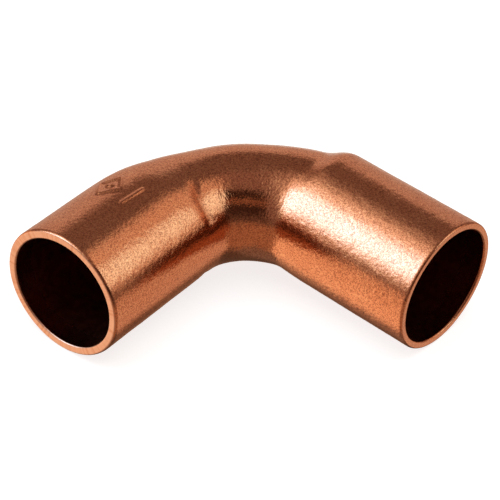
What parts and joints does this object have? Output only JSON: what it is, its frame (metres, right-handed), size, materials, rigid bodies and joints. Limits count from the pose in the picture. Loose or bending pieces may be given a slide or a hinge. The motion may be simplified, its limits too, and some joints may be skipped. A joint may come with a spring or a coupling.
{
  "type": "pipe elbow",
  "caption": "Formed copper tube elbow turning a pipe run through a right angle, with a plain solder cup on each end.",
  "frame": {"origin": "centre of the mouth of cup A, on cup A's axis; the two cup axes cross at (-0.03286, 0, 0)", "axes": "+X out of cup A's mouth, -Y out of cup B's mouth, +Z square to the plane of the elbow, which lies flat in XY"},
  "size_m": [0.0415, 0.042, 0.0174],
  "materials": {
    "copper": "bare copper, tumbled satin with bright burnished mouth edges and a darker, lightly oxidised waterway"
  },
  "bodies": {
    "root": {"elbow_body": "copper"}
  },
  "joints": []
}
